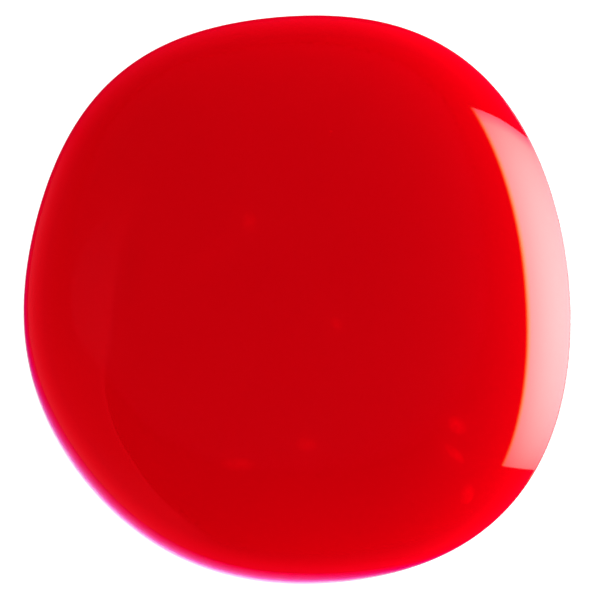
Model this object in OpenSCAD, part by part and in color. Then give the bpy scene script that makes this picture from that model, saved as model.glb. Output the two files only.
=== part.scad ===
// A drop of glossy nail lacquer, still soft inside, lying on a flat surface.
// Millimetres, +Z up. The origin is the centre of the flat underside.
// From the outside in, the drop is a feathered edge film on the surface, a closed glossy skin,
// a few pigment flecks caught in that skin, and the soft lacquer body that the skin holds.

/* [Drop] */
// Width across X, over the edge film
drop_w = 18; // [14:0.5:24]
// Slope of the lacquer where it meets the surface, in degrees
contact_angle = 42; // [25:1:55]
// Capillary length of the wet lacquer, which sets its height and how round its rim is
capillary_length = 1.68; // [1.4:0.01:1.9]

/* [Outline] */
// Two-sided lobe, as a fraction of the radius: how oval the outline is
oval = 0.024; // [0:0.001:0.05]
// Where a long end of the oval points, in degrees from +X
oval_turn = 101; // [0:1:180]
// Three-sided lobe, as a fraction of the radius
three_lobe = 0.012; // [0:0.001:0.03]
// Where a corner of the three-sided lobe points
three_lobe_turn = -50; // [-60:1:60]
// Four-sided lobe, as a fraction of the radius: how square the outline is
four_lobe = 0.016; // [0:0.001:0.03]
// Where a corner of the four-sided lobe points
four_lobe_turn = -43; // [-45:1:45]
// Five-sided lobe, as a fraction of the radius
five_lobe = 0.005; // [0:0.001:0.01]
// Where a corner of the five-sided lobe points
five_lobe_turn = -22; // [-36:1:36]
// Six-sided lobe, as a fraction of the radius
six_lobe = 0.005; // [0:0.001:0.01]
// Where a corner of the six-sided lobe points
six_lobe_turn = 8; // [-30:1:30]

/* [Layers] */
// Height of the skin, measured straight down from its outer face
skin_t = 0.07; // [0.05:0.01:0.12]
// Height of the edge film where it leans on the skin
film_t = 0.04; // [0.03:0.01:0.06]
// Width of the edge film on the tidy side of the drop
film_w_min = 0.07; // [0.05:0.01:0.15]
// Width of the edge film where the lacquer has crept out furthest
film_w_max = 0.3; // [0.2:0.01:0.5]
// Direction in which the lacquer has crept out, in degrees from +X
creep_turn = 242; // [0:1:360]
// Half of the angle over which it has crept out
creep_half_angle = 45; // [20:1:80]

/* [Hidden] */

lacquer_red = [0.76, 0.0, 0.03];
skin_red = [0.86, 0.0, 0.05];
film_pink = [1.0, 0.3, 0.55];
fleck_red = [0.95, 0.2, 0.2];

segments = 72;
turns = [for (i = [0:segments - 1]) i * 360 / segments];

// Outline of the whole drop for a mean radius of 1, about its own pole
function lobes(a) = 1
    + oval * cos(2 * (a - oval_turn))
    + three_lobe * cos(3 * (a - three_lobe_turn))
    + four_lobe * cos(4 * (a - four_lobe_turn))
    + five_lobe * cos(5 * (a - five_lobe_turn))
    + six_lobe * cos(6 * (a - six_lobe_turn));

// The pole is moved so that the middle of the outline's box is the origin
unit_xs = [for (a = turns) lobes(a) * cos(a)];
unit_ys = [for (a = turns) lobes(a) * sin(a)];
mean_r = drop_w / (max(unit_xs) - min(unit_xs));
pole_x = -mean_r * (max(unit_xs) + min(unit_xs)) / 2;
pole_y = -mean_r * (max(unit_ys) + min(unit_ys)) / 2;

// Width of the edge film at a turn: flat over the crept-out side, with soft ends
function off_creep(a) = abs((a - creep_turn + 540) % 360 - 180) / creep_half_angle;
function film_w(a) = film_w_min + (film_w_max - film_w_min) / (1 + pow(off_creep(a), 6));

// Distance from the pole to the outer edge of the film, and to the foot of the skin
function film_reach(a) = mean_r * lobes(a);
function skin_reach(a) = film_reach(a) - film_w(a);

// Profile of a wide drop held by surface tension and gravity, by the slope of its face:
// how far a slope lies below the flat top, and how far in from the foot
function drop_below_top(slope) = 2 * capillary_length * sin(slope / 2);
function run(slope) = capillary_length * (ln(tan(slope / 4)) + 2 * cos(slope / 2));
function inset(slope) = run(contact_angle) - run(slope);
function slope_at_height(z) = 2 * asin((top_z - z) / (2 * capillary_length));
top_z = drop_below_top(contact_angle);

// Slopes of the rings that make the skin's outer face, from its foot to the flat middle.
// The second ring is level with the top of the edge film.
slope_step = 0.78;
film_slope = slope_at_height(film_t);
flat_enough = 0.85;
least_reach = min([for (a = turns) skin_reach(a)]);
upper_slopes = [for (k = [0:40]) let (s = film_slope * pow(slope_step, k))
    if (inset(s) < flat_enough * least_reach) s];
outer_slopes = concat([contact_angle], upper_slopes);
inner_slopes = [for (s = outer_slopes) if (top_z - drop_below_top(s) > skin_t + film_t) s];
inner_rings = concat([slope_at_height(skin_t)], inner_slopes);

// A point on the drop's face at a turn and slope, lowered by the height of what covers it
function face_point(a, slope, cover) = let (r = skin_reach(a) - inset(slope))
    [pole_x + r * cos(a), pole_y + r * sin(a), top_z - drop_below_top(slope) - cover];
function face_rings(slopes, cover) = [for (s = slopes) for (a = turns) face_point(a, s, cover)];
function apex(cover) = [pole_x, pole_y, top_z - cover];

// Triangles between two rings of points whose first numbers are i and j
function band(i, j) = [for (k = [0:segments - 1]) let (n = (k + 1) % segments)
    each [[i + k, j + k, j + n], [i + k, j + n, i + n]]];
// Triangles from a ring to one point
function fan(i, tip) = [for (k = [0:segments - 1]) [i + k, tip, i + (k + 1) % segments]];
function flipped(faces) = [for (f = faces) [f[0], f[2], f[1]]];

// Faces of a dome of rings whose points start at number first, with its apex after the last ring
function dome(first, rings) = concat(
    [for (k = [0:rings - 2]) each band(first + k * segments, first + (k + 1) * segments)],
    fan(first + (rings - 1) * segments, first + rings * segments));

// Pigment flecks: centre, length, width and turn of each, where they lie in the skin
flecks = [
    [-1.6, 2.5, 0.75, 0.5, 80],
    [1.3, -0.8, 0.55, 0.4, 130],
    [-2.0, -5.4, 1.2, 0.5, 0],
    [0.35, -4.8, 0.75, 0.45, 170],
    [5.3, -4.15, 0.75, 0.5, 135],
    [5.2, -5.1, 0.95, 0.35, 135],
    [5.6, -6.45, 0.8, 0.5, 85],
    [1.1, 5.5, 0.12, 0.1, 0],
];
fleck_sides = 14;
// Flecks are a little fuller on one side, like a pebble
pebble = 0.12;

module fleck_prism(f) {
    pebble_xy = [for (i = [0:fleck_sides - 1]) let (a = i * 360 / fleck_sides, g = 1 + pebble * cos(a))
        [f[2] / 2 * g * cos(a), f[3] / 2 * g * sin(a)]];
    translate([f[0], f[1], 0]) rotate([0, 0, f[4]]) linear_extrude(height = 2 * top_z) polygon(pebble_xy);
}

module skin_shell() {
    outer_n = len(outer_slopes);
    inner_n = len(inner_rings);
    inner_first = outer_n * segments + 1;
    polyhedron(
        points = concat(face_rings(outer_slopes, 0), [apex(0)], face_rings(inner_rings, skin_t), [apex(skin_t)]),
        faces = concat(dome(0, outer_n), flipped(dome(inner_first, inner_n)), band(inner_first, 0)));
}

// Soft lacquer under the skin, flat where it lies on the surface
module lacquer_body() {
    rings_n = len(inner_rings);
    rings = face_rings(inner_rings, skin_t);
    color(lacquer_red)
    polyhedron(
        points = concat(rings, [apex(skin_t)]),
        faces = concat(dome(0, rings_n), [[for (k = [0:segments - 1]) k]]));
}

// Closed glossy skin over the air side, with a pocket for each fleck
module surface_skin() {
    color(skin_red) difference() {
        skin_shell();
        for (f = flecks) fleck_prism(f);
    }
}

// Thin wedge of lacquer that has crept out past the foot of the skin
module edge_film() {
    foot = face_rings([contact_angle, film_slope], 0);
    rim = [for (a = turns) [pole_x + film_reach(a) * cos(a), pole_y + film_reach(a) * sin(a), 0]];
    color(film_pink)
    polyhedron(
        points = concat(rim, foot),
        faces = concat(band(0, 2 * segments), flipped(band(segments, 2 * segments)), flipped(band(0, segments))));
}

// Clumps of pigment that fill their pockets in the skin
module pigment_flecks() {
    color(fleck_red) intersection() {
        skin_shell();
        for (f = flecks) fleck_prism(f);
    }
}

lacquer_body();
surface_skin();
edge_film();
pigment_flecks();
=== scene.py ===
import math

import bpy
import numpy as np
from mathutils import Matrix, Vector


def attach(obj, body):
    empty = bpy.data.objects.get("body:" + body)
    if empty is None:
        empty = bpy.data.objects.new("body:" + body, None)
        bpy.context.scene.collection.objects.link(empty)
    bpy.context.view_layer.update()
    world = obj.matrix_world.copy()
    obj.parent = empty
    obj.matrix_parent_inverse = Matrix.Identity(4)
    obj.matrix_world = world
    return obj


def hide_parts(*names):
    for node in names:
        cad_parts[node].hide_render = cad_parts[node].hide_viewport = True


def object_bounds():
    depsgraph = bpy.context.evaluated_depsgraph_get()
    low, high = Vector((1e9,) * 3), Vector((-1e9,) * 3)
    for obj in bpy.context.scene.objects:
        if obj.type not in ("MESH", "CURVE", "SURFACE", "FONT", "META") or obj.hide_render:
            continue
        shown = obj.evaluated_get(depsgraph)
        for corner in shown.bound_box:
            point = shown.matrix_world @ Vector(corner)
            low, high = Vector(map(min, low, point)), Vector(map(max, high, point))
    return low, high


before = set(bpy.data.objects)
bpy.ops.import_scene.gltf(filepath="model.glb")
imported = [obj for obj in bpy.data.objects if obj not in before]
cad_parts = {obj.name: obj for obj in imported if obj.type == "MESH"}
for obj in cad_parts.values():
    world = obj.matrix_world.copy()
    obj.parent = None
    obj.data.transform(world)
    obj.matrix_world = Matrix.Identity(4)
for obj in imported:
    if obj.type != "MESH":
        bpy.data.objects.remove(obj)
cad_low, cad_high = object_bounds()

# A drop of glossy red nail lacquer on a white table. Everything is in metres.
MM = 0.001
# As in the CAD model: the face's slope at the table, and the heights of the skin and the edge film
CONTACT_ANGLE = math.radians(42)
SKIN_HEIGHT = 0.07 * MM
FILM_HEIGHT = 0.04 * MM
# Corners in each ring of the visual meshes
SEGMENTS = 360
# Corners lower than this lie on the table, and corners closer than the weld are one
ON_TABLE = 0.001 * MM
WELD = 0.0005 * MM

# ---------------------------------------------------------------- shape of the drop, from the frame


def node_points(name):
    """The corners of a CAD node's mesh, one row each."""
    return np.array([v.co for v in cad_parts[name].data.vertices], float)


POLE = max(node_points("surface_skin"), key=lambda p: p[2])
TOP = POLE[2]
CAPILLARY_LENGTH = TOP / (2 * math.sin(CONTACT_ANGLE / 2))


def reach_series(name, harmonics=16):
    """Fourier series of how far a node reaches from the pole where it lies on the table."""
    foot = node_points(name)
    foot = foot[foot[:, 2] < ON_TABLE] - POLE
    turn = np.round(np.degrees(np.arctan2(foot[:, 1], foot[:, 0])), 1) % 360
    radius = np.hypot(foot[:, 0], foot[:, 1])
    reach = [radius[turn == t].max() for t in np.unique(turn)]
    return np.fft.rfft(reach)[:harmonics] / len(reach)


def reach(series, turn):
    """The series' value at each turn, in radians."""
    waves = np.exp(1j * np.outer(turn, np.arange(1, len(series))))
    return series[0].real + 2 * (waves @ series[1:]).real


def run(slope):
    """Level distance along the profile of a wide drop, up to a constant."""
    return CAPILLARY_LENGTH * (np.log(np.tan(slope / 4)) + 2 * np.cos(slope / 2))


# The drop's profile, from its foot to its flat middle: slope, distance in from the foot, and height
SLOPES = np.concatenate([np.linspace(CONTACT_ANGLE, 0.02, 600), np.geomspace(0.0199, 1e-4, 200)])
INSETS = run(CONTACT_ANGLE) - run(SLOPES)
HEIGHTS = TOP - 2 * CAPILLARY_LENGTH * np.sin(SLOPES / 2)
TURNS = np.linspace(0, 2 * math.pi, SEGMENTS, endpoint=False)
FILM_SERIES = reach_series("edge_film")
SKIN_SERIES = reach_series("surface_skin")
# Towards +X the skin itself spreads almost to the film's edge, over the lowest part of its face.
# The spread starts and is full where the turn has these cosines.
SPREAD_WIDTH = 0.055 * MM
SPREAD_DEPTH = 1.4 * MM
SPREAD_START, SPREAD_FULL = 0.3, 0.55
SPREAD = SPREAD_WIDTH * np.clip((np.cos(TURNS) - SPREAD_START) / (SPREAD_FULL - SPREAD_START), 0, 1)


def face_height(inset):
    """Height of the drop's face at a distance in from the foot of its skin."""
    return np.interp(inset, INSETS, HEIGHTS)


def face_inset(height):
    """How far in from the foot of the skin the face has a height."""
    return np.interp(height, HEIGHTS, INSETS)


def points(radius, height, turn=TURNS):
    """Points round the pole at a radius and height for each turn."""
    level = np.broadcast_to(height, np.shape(turn))
    return np.stack([POLE[0] + radius * np.cos(turn), POLE[1] + radius * np.sin(turn), level], 1)


def face_radius(inset):
    """How far the drop's face reaches from the pole at a distance in from its foot."""
    return reach(SKIN_SERIES, TURNS) - inset + SPREAD * np.clip(1 - inset / SPREAD_DEPTH, 0, 1) ** 2


def face_ring(inset, cover=0.0):
    """A ring on the drop's face, lowered by the height of what covers it."""
    return points(face_radius(inset), face_height(inset) - cover)


def loose_parts(name):
    """The corners of each separate solid in a CAD node."""
    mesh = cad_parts[name].data
    corners = node_points(name)
    _, group = np.unique(np.round(corners / WELD), axis=0, return_inverse=True)
    group = group.ravel().copy()
    edges = np.array([e.vertices[:] for e in mesh.edges])
    while True:
        low = np.minimum(group[edges[:, 0]], group[edges[:, 1]])
        new = group.copy()
        np.minimum.at(new, edges[:, 0], low)
        np.minimum.at(new, edges[:, 1], low)
        spread = np.full(group.max() + 1, group.max() + 1)
        np.minimum.at(spread, group, new)
        new = spread[group]
        if (new == group).all():
            break
        group = new
    return [corners[group == g] for g in np.unique(group)]


# A fleck with less than this half length is tiny, and one further along +X than this is near the lamp
TINY_FLECK = 0.1 * MM
NEAR_LAMP = 3 * MM
# The higher paleness goes to tiny flecks and to flecks near the lamp, where it is painted lamp light
LAMPLIT_OR_TINY_PALENESS, FAINT_PALENESS = 0.18, 0.1


def measure_flecks():
    """Centre, half length, half width, turn and paleness of each fleck, from the corners of its solid.
    The tiny flecks stand out more, and flecks towards the lamp are paler, as painted lamp light."""
    measured = []
    for part in sorted(loose_parts("pigment_flecks"), key=lambda p: (p[:, 0].mean(), p[:, 1].mean())):
        flat = np.unique(np.round(part[:, :2], 8), axis=0)
        centre = flat.mean(0)
        offsets = flat - centre
        _, axes = np.linalg.eigh(offsets.T @ offsets)
        half_width, half_length = np.abs(offsets @ axes).max(0)
        turn = math.atan2(axes[1, 1], axes[0, 1])
        lamplit_or_tiny = centre[0] > NEAR_LAMP or half_length < TINY_FLECK
        measured.append((centre, half_length, half_width, turn, LAMPLIT_OR_TINY_PALENESS if lamplit_or_tiny else FAINT_PALENESS))
    return measured


FLECKS = measure_flecks()


# ---------------------------------------------------------------- mesh helpers


def keep_values(mesh, name, values):
    """Keeps one number per corner on the mesh for its material."""
    mesh.attributes.new(name, "FLOAT", "POINT").data.foreach_set("value", values.astype(np.float32))


def loft(name, rings, first_tip=None, last_tip=None, wrap=False, shares=None):
    """A closed mesh through rings of points, ended by a tip at each end or wrapped back on itself.
    shares gives one number per ring, kept on the mesh for its material."""
    count = len(rings[0])
    corners = [tuple(p) for ring in rings for p in ring]
    around = np.arange(count)
    after = (around + 1) % count
    faces = []
    for i in range(len(rings) if wrap else len(rings) - 1):
        a, b = i * count, (i + 1) % len(rings) * count
        faces += [(a + k, a + n, b + n, b + k) for k, n in zip(around, after)]
    for tip, start, flip in ((first_tip, 0, True), (last_tip, (len(rings) - 1) * count, False)):
        if tip is not None:
            corners.append(tuple(tip))
            last = len(corners) - 1
            one, other = (after, around) if flip else (around, after)
            faces += [(start + k, start + n, last) for k, n in zip(one, other)]
    mesh = bpy.data.meshes.new(name)
    mesh.from_pydata(corners, [], [tuple(int(v) for v in f) for f in faces])
    if shares is not None:
        values = np.repeat(shares, count)
        tips = np.full(len(corners) - len(values), values[-1])
        keep_values(mesh, "share", np.concatenate([values, tips]))
    mesh.polygons.foreach_set("use_smooth", [True] * len(mesh.polygons))
    mesh.set_sharp_from_angle(angle=math.radians(30))
    piece = bpy.data.objects.new(name, mesh)
    bpy.context.scene.collection.objects.link(piece)
    return piece


# ---------------------------------------------------------------- materials


class Nodes:
    """Short forms for adding shader nodes to one material's tree."""

    def __init__(self, tree):
        self.tree = tree

    def add(self, kind, settings=None, **inputs):
        node = self.tree.nodes.new(kind)
        for name, value in (settings or {}).items():
            setattr(node, name, value)
        for name, value in inputs.items():
            self.put(node.inputs[name.replace("_", " ")], value)
        return node

    def put(self, socket, value):
        if isinstance(value, bpy.types.NodeSocket):
            self.tree.links.new(value, socket)
        else:
            socket.default_value = value

    def math(self, operation, a, b=0.0, c=0.0):
        node = self.tree.nodes.new("ShaderNodeMath")
        node.operation = operation
        for socket, value in zip(node.inputs, (a, b, c)):
            self.put(socket, value)
        return node.outputs[0]

    def vector(self, operation, *values):
        node = self.tree.nodes.new("ShaderNodeVectorMath")
        node.operation = operation
        for socket, value in zip(node.inputs, values):
            self.put(socket, value)
        return node.outputs["Vector"]

    def scaled(self, colour, share):
        """A colour times a share."""
        node = self.add("ShaderNodeVectorMath", {"operation": "SCALE"}, Scale=share)
        self.put(node.inputs[0], colour)
        return node.outputs["Vector"]

    def ramp(self, factor, stops):
        node = self.tree.nodes.new("ShaderNodeValToRGB")
        ramp = node.color_ramp
        while len(ramp.elements) < len(stops):
            ramp.elements.new(0.5)
        for element, (place, colour) in zip(ramp.elements, stops):
            element.position = place
            element.color = (*colour, 1)
        self.put(node.inputs[0], factor)
        return node.outputs[0]

    def noise(self, place, scale, detail=2.0):
        node = self.add("ShaderNodeTexNoise", Scale=scale, Detail=detail)
        self.put(node.inputs["Vector"], place)
        return node.outputs["Fac"]


def new_material(name):
    """A material, short forms for its tree, and its shader."""
    material = bpy.data.materials.new(name)
    material.use_nodes = True
    nodes = Nodes(material.node_tree)
    shader = material.node_tree.nodes["Principled BSDF"]
    return material, nodes, shader


def set_even(shader, **values):
    """Sets what is the same all over a surface, directly on the shader's sockets."""
    for name, value in values.items():
        shader.inputs[name.replace("_", " ")].default_value = value


# Red of the lacquer by height, as a share of the drop's height: it pales as the lacquer thins
LACQUER_SHADES = [(0.0, (1.0, 0.0, 0.022)), (0.08, (0.96, 0.0, 0.011)), (0.2, (0.84, 0.0, 0.006)),
                  (0.33, (0.71, 0.0, 0.004)), (0.46, (0.66, 0.0, 0.003)), (0.6, (0.61, 0.0, 0.0028)),
                  (0.8, (0.555, 0.0, 0.0026)), (1.0, (0.50, 0.0, 0.0024))]


# Soft lighter and darker patches in the lacquer's colour: centre, half length and half width in millimetres,
# turn in degrees, gain. The last one is a painted glint.
SOFT_PATCHES_AND_GLINT = [(-2.7, 1.5, 1.9, 0.7, 39, 0.035),
           (-5.4, 1.2, 3.0, 0.75, 81, -0.06),
           (-3.9, -7.0, 0.6, 0.22, -22, 0.16)]
# The light patch round a fleck is this much larger than the fleck, and has this share of its paleness, which
# near the lamp includes painted lamp light
PATCH_MARGIN = 0.45 * MM
PATCH_SHARE = 0.6
# How far the patches' and streaks' edges wander
WANDER = 0.7 * MM


def soft_patch(nodes, place, centre, half_length, half_width, turn, gain):
    """A soft patch of lighter or darker colour that fades from its gain at the centre to nothing at its
    edge.
    """
    fit = nodes.add("ShaderNodeMapping", {"vector_type": "TEXTURE"}, Vector=place,
                    Location=(*centre, TOP), Rotation=(0, 0, turn), Scale=(half_length, half_width, TOP))
    blob = nodes.add("ShaderNodeTexGradient", {"gradient_type": "QUADRATIC_SPHERE"},
                     Vector=fit.outputs["Vector"])
    return nodes.math("MULTIPLY", blob.outputs["Fac"], gain)


def lacquer_patches_and_glint(nodes, place):
    """Sum of the soft light patches round the flecks, the soft lighter and darker patches and the painted
    glint.
    """
    wander = nodes.add("ShaderNodeTexNoise", Vector=place, Scale=900.0, Detail=2.0).outputs["Color"]
    wandered = nodes.vector("MULTIPLY_ADD", wander, (WANDER, WANDER, 0.0), place)
    place = nodes.vector("SUBTRACT", wandered, (WANDER / 2, WANDER / 2, 0.0))
    patches = []
    # Light patches round the flecks; near the lamp they carry painted lamp light
    for centre, half_length, half_width, turn, paleness in FLECKS:
        margin = PATCH_MARGIN if half_length > TINY_FLECK else 0.0
        patches.append((centre, half_length + margin, half_width + margin, turn, PATCH_SHARE * paleness))
    # The soft lighter and darker patches, the last of them a painted glint
    for x, y, half_length, half_width, turn, gain in SOFT_PATCHES_AND_GLINT:
        patches.append(((x * MM, y * MM), half_length * MM, half_width * MM, math.radians(turn), gain))
    total = 0.0
    for patch in patches:
        total = nodes.math("ADD", total, soft_patch(nodes, place, *patch))
    return total


def lacquer_colour(nodes):
    """Red that brightens towards the thin rim, with soft clouds, fine pigment grain, soft lighter and darker
    patches and a painted glint, and the place on the drop that it is worked out from."""
    place = nodes.add("ShaderNodeTexCoord").outputs["Object"]
    height = nodes.add("ShaderNodeSeparateXYZ", Vector=place).outputs["Z"]
    share = nodes.math("DIVIDE", height, TOP)
    depth = nodes.ramp(share, LACQUER_SHADES)
    clouds = nodes.noise(place, 260.0, 3.0)
    grain = nodes.noise(place, 9000.0, 1.0)
    mottle = nodes.math("MULTIPLY_ADD", clouds, 0.05, 0.975)
    mottle = nodes.math("MULTIPLY", mottle, nodes.math("MULTIPLY_ADD", grain, 0.03, 0.985))
    # Adds the fleck patches, the soft patches and the painted glint to the colour
    mottle = nodes.math("MULTIPLY", mottle, nodes.math("ADD", lacquer_patches_and_glint(nodes, place), 1.0))
    return place, nodes.scaled(depth, mottle)


def gloss_skin_material():
    material, nodes, shader = new_material("gloss_skin")
    place, colour = lacquer_colour(nodes)
    nodes.put(shader.inputs["Base Color"], colour)
    haze = nodes.noise(place, 700.0, 2.0)
    nodes.put(shader.inputs["Roughness"], nodes.math("MULTIPLY_ADD", haze, 0.03, 0.02))
    set_even(shader, IOR=1.5, Coat_Weight=1.0, Coat_Roughness=0.02, Coat_IOR=1.5)
    return material


def soft_lacquer_material():
    material, nodes, shader = new_material("soft_lacquer")
    _, colour = lacquer_colour(nodes)
    nodes.put(shader.inputs["Base Color"], colour)
    set_even(shader, Roughness=0.3)
    return material


# The film's colour by its thickness, as a share of the most it has, where it has crept out and elsewhere.
# Elsewhere its red darkens towards its thin outer edge as a painted contact shadow.
CREPT_SHADES = [(0.0, (1.0, 0.0, 0.75)), (0.15, (1.0, 0.0, 0.75)), (0.3, (1.0, 0.0, 0.66)),
                (0.47, (1.0, 0.0, 0.31)), (0.63, (1.0, 0.0, 0.175)), (0.8, (1.0, 0.0, 0.09)),
                (1.0, (1.0, 0.0, 0.03))]
TIDY_REDS_WITH_PAINTED_SHADOW = [(0.0, (0.76, 0.0, 0.02)), (1.0, (0.92, 0.0, 0.01))]
# The share of its thickness at which the film hides about two thirds of what is under it
CREPT_COVER, TIDY_COVER = 0.53, 0.1


def thin_film_material():
    material, nodes, shader = new_material("thin_film")
    share = nodes.add("ShaderNodeAttribute", {"attribute_name": "share"}).outputs["Fac"]
    crept = nodes.add("ShaderNodeAttribute", {"attribute_name": "crept"}).outputs["Fac"]
    place = nodes.add("ShaderNodeTexCoord").outputs["Object"]
    # Away from where the film has crept out, its darker outer edge is a painted contact shadow
    mixed = nodes.add("ShaderNodeMix", {"data_type": "RGBA"}, Factor=crept,
                      A=nodes.ramp(share, TIDY_REDS_WITH_PAINTED_SHADOW), B=nodes.ramp(share, CREPT_SHADES))
    nodes.put(shader.inputs["Base Color"], mixed.outputs["Result"])
    grain = nodes.math("MULTIPLY_ADD", nodes.noise(place, 2500.0), 0.3, 0.85)
    cover = nodes.math("MULTIPLY_ADD", crept, CREPT_COVER - TIDY_COVER, TIDY_COVER)
    cover = nodes.math("MULTIPLY", cover, grain)
    thick = nodes.math("POWER", nodes.math("DIVIDE", share, cover), 1.2)
    through = nodes.math("EXPONENT", nodes.math("MULTIPLY", thick, -1.0))
    nodes.put(shader.inputs["Alpha"], nodes.math("SUBTRACT", 1.0, through))
    set_even(shader, Roughness=0.04, Coat_Weight=1.0, Coat_Roughness=0.02)
    return material


def fleck_material():
    material, nodes, shader = new_material("pigment_fleck")
    place, colour = lacquer_colour(nodes)
    share = nodes.add("ShaderNodeAttribute", {"attribute_name": "share"}).outputs["Fac"]
    broken = nodes.math("MULTIPLY", nodes.noise(place, 4000.0), 2.0)
    # Flecks near the lamp are lifted more, as painted lamp light
    lift = nodes.math("MULTIPLY_ADD", share, broken, 1.0)
    nodes.put(shader.inputs["Base Color"], nodes.scaled(colour, lift))
    set_even(shader, Roughness=0.05, Coat_Weight=1.0, Coat_Roughness=0.02)
    return material


# ---------------------------------------------------------------- pieces


def finish_piece(piece, material, slot, *nodes):
    """Gives a piece its material and hides the CAD nodes that it stands for. slot is not used."""
    piece.data.materials.append(material)
    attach(piece, "root")
    if nodes:
        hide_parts(*nodes)


# Rings lie evenly over the rounded rim and ever further apart over the flatter middle
RIM_END, MIDDLE_START = 3.2 * MM, 3.3 * MM
LAST_RING = 0.93 * reach(SKIN_SERIES, TURNS).min()


def ring_insets(first, on_rim, in_middle):
    """How far in from the skin's foot each ring of a face lies, from the first one."""
    rim = np.linspace(first, RIM_END, on_rim)
    return np.concatenate([rim, np.geomspace(MIDDLE_START, LAST_RING, in_middle)])


OUTER_INSETS = ring_insets(0.0, 60, 26)
INNER_INSETS = ring_insets(face_inset(SKIN_HEIGHT), 30, 14)


def make_skin():
    inner = [face_ring(i, SKIN_HEIGHT) for i in INNER_INSETS[::-1]]
    outer = [face_ring(i) for i in OUTER_INSETS]
    under_tip = POLE - (0, 0, SKIN_HEIGHT)
    skin = loft("gloss_skin", inner + outer, first_tip=under_tip, last_tip=POLE)
    finish_piece(skin, gloss_skin_material(), "gloss_skin", "surface_skin")


def make_body():
    rings = [face_ring(i, SKIN_HEIGHT) for i in INNER_INSETS]
    floor_centre = POLE * (1, 1, 0)
    body = loft("soft_lacquer", rings, first_tip=floor_centre, last_tip=POLE - (0, 0, SKIN_HEIGHT))
    finish_piece(body, soft_lacquer_material(), "lacquer", "lacquer_body")


def make_film(steps=12, past_cad=0.05 * MM, lowered=0.6):
    """Wedge from its feathered edge to the foot of the skin, where it leans on the skin's face. Where it
    has crept out it feathers past the CAD model's edge, and where the skin spreads it is lower."""
    width = reach(FILM_SERIES, TURNS) - reach(SKIN_SERIES, TURNS)
    crept = np.clip((width - width.min()) / (width.max() - width.min()), 0, 1)
    edge = reach(FILM_SERIES, TURNS) + past_cad * crept
    foot = face_radius(0.0)
    top = FILM_HEIGHT * (1 - lowered * SPREAD / SPREAD.max())
    lean = face_radius(face_inset(top))
    rings, shares = [points(edge, 0.0)], [0.0]
    for share in np.linspace(0, 1, steps + 1)[1:]:
        rings.append(points(edge + (lean - edge) * share, top * share))
        shares.append(share)
    rings.append(points(foot, 0.0))
    shares.append(1.0)
    film = loft("feather_film", rings, wrap=True, shares=shares)
    keep_values(film.data, "crept", np.tile(crept, len(rings)))
    finish_piece(film, thin_film_material(), "thin_film", "edge_film")


def make_flecks(rings=8, sides=40, crown=0.004 * MM):
    """Each fleck is a low pebble that fills its pocket in the skin, a hair proud of the face."""
    material = fleck_material()
    round_turn = np.linspace(0, 2 * math.pi, sides, endpoint=False)
    for number, (centre, half_length, half_width, turn, paleness) in enumerate(FLECKS, 1):
        along = half_length * np.cos(round_turn)
        beside = half_width * np.sin(round_turn)
        ring_x = along * math.cos(turn) - beside * math.sin(turn)
        ring_y = along * math.sin(turn) + beside * math.cos(turn)
        made, shares = [], [0.0]
        for out in np.linspace(1, 1 / rings, rings):
            x, y = centre[0] + ring_x * out, centre[1] + ring_y * out
            away_x, away_y = x - POLE[0], y - POLE[1]
            inset = reach(SKIN_SERIES, np.arctan2(away_y, away_x)) - np.hypot(away_x, away_y)
            made.append(np.stack([x, y, face_height(inset) + crown * (1 - out * out)], 1))
            shares.append(paleness * (1 - out * out))
        below = made[0] - (0, 0, SKIN_HEIGHT)
        fleck = loft(f"pigment_fleck_{number}", [below] + made, first_tip=below.mean(0),
                     last_tip=made[-1].mean(0), shares=shares)
        finish_piece(fleck, material, "pigment", *(["pigment_flecks"] if number == 1 else []))


make_skin()
make_body()
make_film()
make_flecks()

# ---------------------------------------------------------------- table, light and camera


def stage_sheet(name, corners, material):
    """A flat or curved sheet from a grid of points, which isn't part of the object."""
    rows, columns = len(corners), len(corners[0])
    flat = [tuple(p) for row in corners for p in row]
    faces = [(i * columns + j, i * columns + j + 1, (i + 1) * columns + j + 1, (i + 1) * columns + j)
             for i in range(rows - 1) for j in range(columns - 1)]
    mesh = bpy.data.meshes.new(name)
    mesh.from_pydata(flat, [], faces)
    mesh.materials.append(material)
    sheet = bpy.data.objects.new(name, mesh)
    bpy.context.scene.collection.objects.link(sheet)
    return sheet


def toward(azimuth, elevation, distance):
    """A point at a compass turn from +X and a height angle, in degrees, seen from the drop."""
    a, e = math.radians(azimuth), math.radians(elevation)
    return distance * math.cos(e) * math.cos(a), distance * math.cos(e) * math.sin(a), distance * math.sin(e)


def make_table(half=3.0, gap=0.01 * MM, near=14 * MM, far=40 * MM):
    """White paper. It glows more further out, where the lamps leave it dimmer, so that it is pure white
    everywhere."""
    material, nodes, shader = new_material("table_white")
    set_even(shader, Base_Color=(0.9, 0.9, 0.9, 1), Specular_IOR_Level=0.0, Emission_Color=(1, 1, 1, 1))
    place = nodes.add("ShaderNodeTexCoord").outputs["Object"]
    away = nodes.add("ShaderNodeVectorMath", {"operation": "LENGTH"}, Vector=place).outputs["Value"]
    strength = nodes.add("ShaderNodeMapRange", Value=away, From_Min=near, From_Max=far,
                         To_Min=0.3, To_Max=1.1)
    nodes.put(shader.inputs["Emission Strength"], strength.outputs[0])
    corners = [[(x, y, -gap) for x in (-half, half)] for y in (-half, half)]
    stage_sheet("table", corners, material)


def share_between(low, high, value):
    """0 at low, 1 at high and even between them."""
    return min(1.0, max(0.0, (value - low) / (high - low)))


# The softbox and the card stand this far from the drop, with their feet this many degrees up
PANEL_DISTANCE = 0.09
PANEL_FOOT = 0.5
# The turns in degrees between which the card stands
CARD_START, CARD_END = 147, 300


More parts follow.
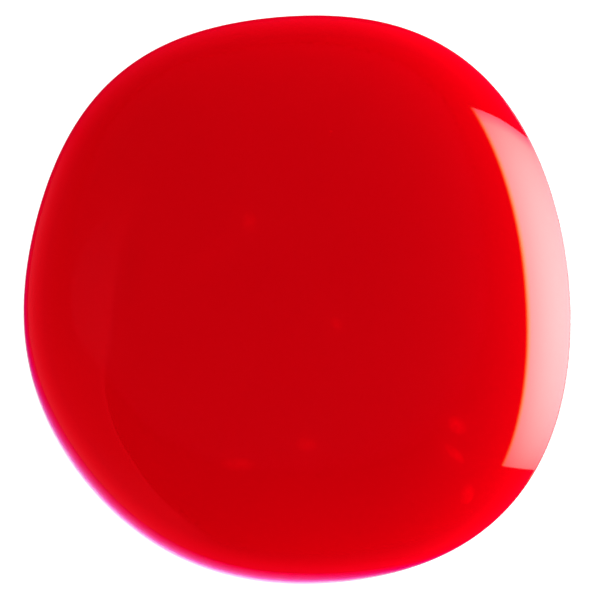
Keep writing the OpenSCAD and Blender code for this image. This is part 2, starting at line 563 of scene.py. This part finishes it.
def softbox_patch(across, up):
    """Where a share across and up the right-hand softbox lies, as turn and height angle in degrees. Its
    upper edge droops at both ends, and it fans out upwards."""
    top = 52.6 - 9.8 * abs(across) ** 1.65
    fan = 3.4 + 2.5 * up + across * (5.0 + 5.7 * up)
    turn = 28.8 * across - 1.8 + up * fan
    return turn, PANEL_FOOT + (top - PANEL_FOOT) * up


def softbox_glow(across, up):
    """Its brightness: fullest low in the middle, as a lamp behind a diffuser is. A lens splits the
    colours a little, so its upper edge fades through orange and its far edge through purple."""
    side = 1 - 0.62 * abs(across - 0.06) ** 2.1
    rise = 1 - 0.45 * share_between(0.4, 1, up) ** 2.5 - 0.11 * share_between(0.4, 0, up)
    glow = side * rise
    red = share_between(1.04, 0.96, up)
    green = share_between(0.995, 0.955, up)
    blue = share_between(0.985, 0.925, up)
    far = share_between(1.0, 0.88, across)
    return glow * red, glow * green * (0.45 + 0.55 * far), glow * blue * (0.7 + 0.3 * far)


def card_patch(across, up):
    """The same for the dim card on the left, whose upper edge drops towards the front."""
    turn = (CARD_START + CARD_END) / 2 + (CARD_END - CARD_START) / 2 * across
    place = (turn - 194.5) / 47.5
    top = 59.5 - 12 * math.tanh((place - 0.35) / 0.3) - 22 * max(0.0, place - 0.6)
    top -= 2.8 * math.exp(-((place - 0.28) / 0.35) ** 2)
    return turn, PANEL_FOOT + (top - PANEL_FOOT) * up


def card_glow(across, up):
    """It is lit from the front and fades at both ends. A thin brighter line runs along its upper edge
    until that edge goes soft towards the front. Along its foot it is paled by the white table."""
    turn, height = card_patch(across, up)
    ends = math.sqrt(share_between(CARD_START, 190, turn)) * share_between(CARD_END, 275, turn)
    low = share_between(0, 35, height)
    front = share_between(195, 230, turn)
    soft = share_between(238, 250, turn)
    red = 0.95 * math.exp(-((turn - 240) / 62) ** 2) * (low + (1 - low) * front)
    red *= 1 - soft * (1 - share_between(1, 0.5, up))
    line = (0.5 + 0.7 * share_between(222, 238, turn)) * share_between(0.965, 0.98, up)
    red = (red + line * (1 - soft)) * ends
    pale_ends = share_between(CARD_START, 165, turn) * share_between(250, 215, turn)
    pale = 0.3 * math.exp(-height / 9) * pale_ends
    return red + pale, 0.01 * red + pale, 0.02 * red + pale


def make_panel(name, patch, glow, strength, lights, columns=101, rows=121):
    """A curved sheet that fills a patch of the drop's surroundings. It is mirrored in the lacquer, and
    lights what is round it only if asked to."""
    material, nodes, shader = new_material(name)
    set_even(shader, Base_Color=(0, 0, 0, 1), Specular_IOR_Level=0.0, Emission_Strength=strength)
    colour = nodes.add("ShaderNodeAttribute", {"attribute_name": "glow"}).outputs["Color"]
    nodes.put(shader.inputs["Emission Color"], colour)
    places = [[(a, u) for a in np.linspace(-1, 1, columns)] for u in np.linspace(0, 1, rows)]
    corners = [[toward(*patch(a, u), PANEL_DISTANCE) for a, u in row] for row in places]
    panel = stage_sheet(name, corners, material)
    glows = np.array([(*glow(a, u), 1.0) for row in places for a, u in row], np.float32)
    panel.data.color_attributes.new("glow", "FLOAT_COLOR", "POINT").data.foreach_set("color", glows.ravel())
    panel.visible_camera = False
    panel.visible_diffuse = lights
    panel.visible_shadow = False


def hang_lamp(lamp, azimuth, elevation, distance=0.0):
    """Points a lamp at the drop from a compass turn and height angle. The lacquer doesn't mirror it."""
    holder = bpy.data.objects.new(lamp.name, lamp)
    holder.location = toward(azimuth, elevation, distance)
    holder.rotation_mode = "QUATERNION"
    holder.rotation_quaternion = Vector(toward(azimuth, elevation, 1.0)).to_track_quat("Z", "Y")
    holder.visible_glossy = False
    bpy.context.scene.collection.objects.link(holder)


def make_fill(name, azimuth, elevation, distance, size, watts):
    """A soft round lamp that lights the drop and the table."""
    lamp = bpy.data.lights.new(name, "AREA")
    lamp.shape = "DISK"
    lamp.size = size
    lamp.energy = watts
    hang_lamp(lamp, azimuth, elevation, distance)


def make_sky_fill(azimuth, elevation, strength, spread=60):
    """Broad even light from overhead."""
    lamp = bpy.data.lights.new("sky_fill", "SUN")
    lamp.energy = strength
    lamp.angle = math.radians(spread)
    hang_lamp(lamp, azimuth, elevation)


# Brightness of the surroundings by height, from the horizon at 0 to straight overhead at 1
SKY_SHADES = [(0.0, 1.0), (0.045, 0.9), (0.09, 0.02), (0.3, 0.008), (0.6, 0.0)]


def make_world():
    """Bright at the horizon and dark overhead, so that the flat top mirrors nothing bright."""
    world = bpy.data.worlds.new("studio")
    bpy.context.scene.world = world
    world.use_nodes = True
    nodes = Nodes(world.node_tree)
    place = nodes.add("ShaderNodeTexCoord").outputs["Generated"]
    rise = nodes.add("ShaderNodeSeparateXYZ", Vector=place).outputs["Z"]
    colour = nodes.ramp(rise, [(height, (shade, shade, shade)) for height, shade in SKY_SHADES])
    nodes.put(world.node_tree.nodes["Background"].inputs["Color"], colour)


def make_camera(lens=400.0, across=19.744 * MM, beside=0.089 * MM, below=0.02 * MM):
    """Straight above the drop and a hair off its centre, with +Y up the picture, so far away that the
    picture takes in the given length."""
    camera = bpy.data.cameras.new("camera")
    camera.lens = lens
    camera.sensor_width = 36.0
    camera.clip_start, camera.clip_end = 0.01, 10.0
    holder = bpy.data.objects.new("camera", camera)
    centre = (cad_low + cad_high) / 2
    holder.location = (centre.x + beside, centre.y - below, across * lens / camera.sensor_width)
    bpy.context.scene.collection.objects.link(holder)
    bpy.context.scene.camera = holder


make_table()
make_panel("softbox", softbox_patch, softbox_glow, strength=7.2, lights=True)
make_panel("dim_card", card_patch, card_glow, strength=0.8, lights=False)
make_fill("near_fill", 180, 55, distance=0.028, size=0.01, watts=0.0012)
make_fill("low_fill", 232, 30, distance=0.06, size=0.03, watts=0.0062)
make_sky_fill(115, 69, strength=1.36)
make_world()
make_camera()
bpy.context.scene.view_settings.view_transform = "Standard"
